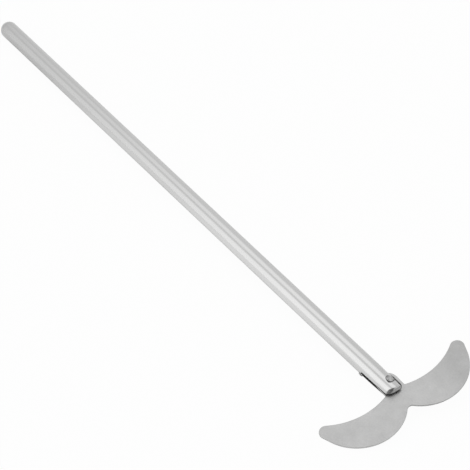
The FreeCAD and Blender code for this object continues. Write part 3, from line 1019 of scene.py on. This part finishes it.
@dataclass
class PivotRivet:
    """The rivet that the blade swings on: a domed lower head, a shank and a low upper head.

    Sizes are in millimetres. The upper head was set by hammering: it is smaller, follows the round
    of the bar and sits to one side. The ring is painted shade round its rim, where it meets the
    bar, from a share of its radius.
    """

    finish: SteelFinish
    centre: Pair = (340.0, 1.0)
    shank_radius: float = 1.5
    head_radius: float = 2.9
    rim_height: float = 5.4
    crown: float = 1.2
    set_centre: Pair = (338.9, 2.0)
    set_radius: float = 2.3
    set_height: float = 0.4
    set_ripple: float = 0.16
    set_waves: Pair = (3.0, 7.0)
    ring_shade: float = 0.68
    ring_start: float = 0.8
    ring_fade: float = 0.15
    seat_radius: float = 5.02
    taper_start: float = 330.0
    taper_angle: float = 1.8
    edge_break: float = 0.15
    edge_segments: int = 3
    sharp_from: float = 40.0
    columns: int = 72
    rows: int = 18

    def seat(self, place: Array, across: Array, lift: float | Array = 0.0) -> Array:
        """Height over the tapered bar: root of the lifted radius squared less across squared."""
        fall = (place - self.taper_start) * math.tan(math.radians(self.taper_angle))
        return np.sqrt((self.seat_radius - fall + lift) ** 2 - across ** 2)

    def upper_head(self, turn: Array) -> tuple[Array, Array]:
        """Surface of the upper head, from its middle to its rim.

        Its lift over the bar is its height times the square root of one less the fourth power of
        the share of its radius, and swells with the sine of the turn and the share, each times its
        waves.

        Args:
            turn: turns about the head's middle, in radians.

        Returns:
            The points and the painted shade on each.
        """
        share = np.sin(spread(0.0, math.pi / 2, self.rows))[:, None]
        place, across = around(self.set_centre, self.set_radius * share, turn)
        wave = np.sin(self.set_waves[0] * turn + self.set_waves[1] * share)
        lift = self.set_height * np.sqrt(1.0 - share ** 4) * (1.0 + self.set_ripple * wave)
        # painted shade in the crevice round the head's rim
        painted_shade = self.ring_shade * np.clip((share - self.ring_start) / self.ring_fade, 0.0, 1.0)
        head = join(place, across, self.seat(place, across, lift))
        return head, np.broadcast_to(painted_shade, place.shape)

    def make(self, here: BarFrame) -> bpy.types.Object:
        """Build the rivet and dress it.

        The surface is a grid of turns by a profile from the top of one head to that of the other.
        The upper head's underside follows the bar in to the shank. The lower head's crown is a
        part of a ball, and the wall under its rim reaches the bar.

        Args:
            here: the bar's frame.

        Returns:
            The rivet, in place of the CAD node.
        """
        turn = spread(0.0, 2 * math.pi, self.columns)[:-1][None, :]
        upper, rim_shade = self.upper_head(turn)
        ball = (self.head_radius ** 2 + self.crown ** 2) / (2 * self.crown)
        out = spread(0.0, self.head_radius, self.rows)[:, None]
        rise = self.rim_height + self.crown - ball + np.sqrt(ball ** 2 - out ** 2)
        dome = join(*around(self.centre, out, turn), -rise)
        between = 0.5 * (self.head_radius + self.shank_radius)
        under = np.array([self.head_radius, between, self.shank_radius])[:, None]
        place, across = around(self.centre, under, turn)
        foot = join(place, across, self.seat(place, across))
        below = foot[::-1] * np.array([1.0, 1.0, -1.0])
        points = np.concatenate([upper, foot[-1:], below, dome[::-1]])
        painted_shade = np.concatenate([rim_shade, np.zeros((len(points) - len(upper), points.shape[1]))])
        draft = Draft()
        draft.grid(points, closed=True, painted_shade=painted_shade)
        piece = draft.build("rivet_formed", here, self.finish.material(), self.sharp_from)
        trim_edges(piece, self.edge_break, self.edge_segments, self.sharp_from)
        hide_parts(Node.RIVET.value)
        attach(piece, Body.SHAFT.value)
        return piece


# ---- studio


@dataclass(frozen=True)
class PaleFloor:
    """A pale floor that shows white to the camera and keeps a faint shadow.

    In the metal it shows very bright on the camera's side of the bar, and less so towards the dome.
    In front of the slotted end, on that side, it shows dark. Places are in millimetres: down is
    along X, and side is towards -Y, the camera's side.
    """

    level: float
    half: float = 4.0
    paint: float = 0.82
    shade: float = 0.06
    white: float = 1.0
    strong: float = 1.3
    seen_white: float = 0.96
    dark_down: Pair = (371.0, 384.0)
    dark_side: Pair = (-8.0, 6.0)
    dark_amount: float = 0.95
    swell_in: Pair = (140.0, 200.0)
    swell_out: Pair = (275.0, 310.0)
    swell_amount: float = 0.13
    run_down: Pair = (10.0, 110.0)
    run_amount: float = 0.34
    dome_loss: float = 0.1
    near_side: Pair = (2.0, 9.0)
    base: float = 0.2

    def material(self) -> bpy.types.Material:
        """Build the floor's look: four plain shaders, mixed by the kind of ray and by place.

        Returns:
            The material.
        """
        made = bpy.data.materials.new("pale_floor")
        graph = Graph(made)
        rays = graph.node("ShaderNodeLightPath")
        seen = Signal(graph, rays.outputs["Is Camera Ray"])
        mirrored = Signal(graph, rays.outputs["Is Glossy Ray"])
        glow, strong = (
            graph.node("ShaderNodeEmission", {}, {"Color": WHITE, "Strength": value}).outputs[0]
            for value in (self.white, self.strong)
        )
        paint, shade = (
            graph.node("ShaderNodeBsdfDiffuse", {}, {"Color": (grey, grey, grey, 1.0)}).outputs[0]
            for grey in (self.paint, self.shade)
        )
        down = graph.along((1.0, 0.0, 0.0), ORIGIN)
        side = graph.along((0.0, -1.0, 0.0), ORIGIN)
        dark = down.ease(*self.dark_down) * side.ease(*self.dark_side)
        swell = down.band(self.swell_in, self.swell_out) * self.swell_amount
        run = down.ease(*self.run_down) * self.run_amount + swell - self.dome_loss
        bright = run * side.ease(*self.near_side) + self.base
        pale = graph.blend(seen * self.seen_white, paint, glow)
        lit = graph.blend(mirrored * bright, pale, strong)
        mixed = graph.blend(mirrored * dark * self.dark_amount, lit, shade)
        graph.node("ShaderNodeOutputMaterial", {}, {"Surface": mixed})
        return made

    def make(self) -> None:
        """Lay the floor as one square under the object."""
        mesh = bpy.data.meshes.new("studio_floor")
        square = self.half * np.array([(-1, -1), (1, -1), (1, 1), (-1, 1)])
        mesh.from_pydata(lifted(square, self.level), [], [(0, 1, 2, 3)])
        mesh.materials.append(self.material())
        piece = put("studio_floor", mesh)
        piece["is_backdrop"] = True


@dataclass(frozen=True)
class SoftRoom:
    """The light from all round: an even pale room with two long soft boxes over the bar.

    A direction's turn about X, in degrees, is the angle whose tangent is its part towards -Y over
    its part upwards. Each box is a band of such turns with soft edges, and both fade towards the
    dome's end. The room is dark behind the camera, where the direction's part towards the camera is
    near 1, and a little darker beyond the slotted end. Back is a direction's part along -X: the
    room is darker where it is high, brighter before that, and brighter low on the far side. The
    camera sees plain white.
    """

    sky: float = 0.775
    box_fade: Pair = (-0.74, -0.42)
    low_in: Pair = (20.0, 42.0)
    low_out: Pair = (82.0, 112.0)
    low_gain: float = 0.54
    high_in: Pair = (-46.0, -22.0)
    high_out: Pair = (0.0, 18.0)
    high_gain: float = 0.41
    to_camera: Triple = (0.80, -0.58, 0.15)
    camera_dark: Pair = (0.58, 0.84)
    camera_loss: float = 0.85
    front_dark: Pair = (0.2, 0.8)
    front_loss: float = 0.15
    swell_in: Pair = (0.445, 0.485)
    swell_out: Pair = (0.50, 0.62)
    swell_gain: float = 0.11
    back_dark: Pair = (0.60, 0.66)
    back_loss: float = 0.12
    far_turn: Pair = (-62.0, -42.0)
    far_back: Pair = (0.55, 0.61)
    far_gain: float = 0.09

    def make(self) -> None:
        """Light the world with the room and its boxes."""
        world = bpy.data.worlds.new("studio_room")
        bpy.context.scene.world = world
        graph = Graph(world)
        way = graph.node("ShaderNodeTexCoord").outputs["Generated"]
        parts = graph.node("ShaderNodeSeparateXYZ", {}, {0: way})
        x, y, z = (Signal(graph, parts.outputs[name]) for name in ("X", "Y", "Z"))
        back = x * -1.0
        turn = (y * -1.0).angle_from(z) * (180.0 / math.pi)
        low_box = turn.band(self.low_in, self.low_out) * self.low_gain
        high_box = turn.band(self.high_in, self.high_out) * self.high_gain
        toward = x * self.to_camera[0] + y * self.to_camera[1] + z * self.to_camera[2]
        swell = back.band(self.swell_in, self.swell_out) * self.swell_gain
        room = 1.0 - toward.ease(*self.camera_dark) * self.camera_loss
        room = room * (1.0 - x.ease(*self.front_dark) * self.front_loss)
        room = room * (swell + 1.0 - back.ease(*self.back_dark) * self.back_loss)
        far_side = (1.0 - turn.ease(*self.far_turn)) * back.ease(*self.far_back) * self.far_gain
        level = ((low_box + high_box) * x.ease(*self.box_fade) + far_side + self.sky) * room
        seen = Signal(graph, graph.node("ShaderNodeLightPath").outputs["Is Camera Ray"])
        strength = level * (1.0 - seen) + seen
        glow = graph.node("ShaderNodeBackground", {}, {"Color": WHITE, "Strength": strength})
        graph.node("ShaderNodeOutputWorld", {}, {"Surface": glow.outputs[0]})


@dataclass(frozen=True)
class PhotoCamera:
    """The camera at the photograph's viewing angle: metres, degrees, and a lens in millimetres."""

    place: Triple = (0.787620, -0.467412, 0.793448)
    turn: Triple = (43.186976, -1.058812, 51.890533)
    lens: float = 155.737
    sensor: float = 36.0
    clip: Pair = (0.01, 30.0)

    def make(self) -> None:
        """Set the camera and make it the scene's."""
        data = bpy.data.cameras.new("photo_camera")
        data.lens = self.lens
        data.sensor_width = self.sensor
        data.clip_start, data.clip_end = self.clip
        made = put("photo_camera", data)
        made.location = self.place
        made.rotation_euler = [math.radians(value) for value in self.turn]
        bpy.context.scene.camera = made


@dataclass(frozen=True)
class Studio:
    """Pale floor, soft light from all round and the photograph's camera."""

    floor: PaleFloor
    room: SoftRoom = SoftRoom()
    camera: PhotoCamera = PhotoCamera()

    def set_up(self) -> None:
        """Make the floor, the light and the camera, and choose the plain view transform."""
        for part in (self.floor, self.room, self.camera):
            part.make()
        bpy.context.scene.view_settings.view_transform = "Standard"


# ---- main


def corners() -> list[list[float]]:
    """Lowest and highest corner of what is shown, as plain lists."""
    return [[float(value) for value in corner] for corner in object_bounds()]


def main() -> None:
    """Build the pieces and the studio."""
    logging.basicConfig(level=logging.INFO, format="%(message)s")
    cad_box = corners()
    here = BarFrame.read(frame["record"])
    Studio(PaleFloor(level=cad_box[0][2])).set_up()
    bar_grain = (0.0, math.asin(float(here.turn[2, 0])), 0.0)
    bar_steel = SteelFinish(
        name="ground_bar_steel", slot="shaft_steel", tone=0.64, roughness=0.2,
        grain_turn=bar_grain, grain_scale=(9.0, 2600.0, 2600.0), grain_tone=0.03, grain_rough=0.04,
        grain_height=0.000002, mottle_scale=60.0, mottle_tone=0.015, mottle_rough=0.02,
    )
    blade_steel = SteelFinish(
        name="matte_sheet_steel", slot="blade_steel", tone=0.52, roughness=0.42,
        grain_scale=(300.0, 700.0, 300.0), grain_tone=0.012, grain_rough=0.03,
        grain_height=0.000004, mottle_scale=140.0, mottle_tone=0.17, mottle_rough=0.04,
    )
    rivet_steel = SteelFinish(
        name="formed_rivet_steel", slot="rivet_steel", tone=0.45, roughness=0.3,
        grain_scale=(700.0, 700.0, 700.0), grain_tone=0.3, grain_rough=0.05,
        grain_height=0.0003, mottle_scale=500.0, mottle_tone=1.3, mottle_rough=0.06,
    )
    for maker in (RoundBar(bar_steel), SheetBlade(blade_steel), PivotRivet(rivet_steel)):
        piece = maker.make(here)
        mesh = piece.data
        LOG.info("%s: %d points, %d faces", piece.name, len(mesh.vertices), len(mesh.polygons))
    LOG.info("boxes written")


if __name__ == "__main__":
    main()
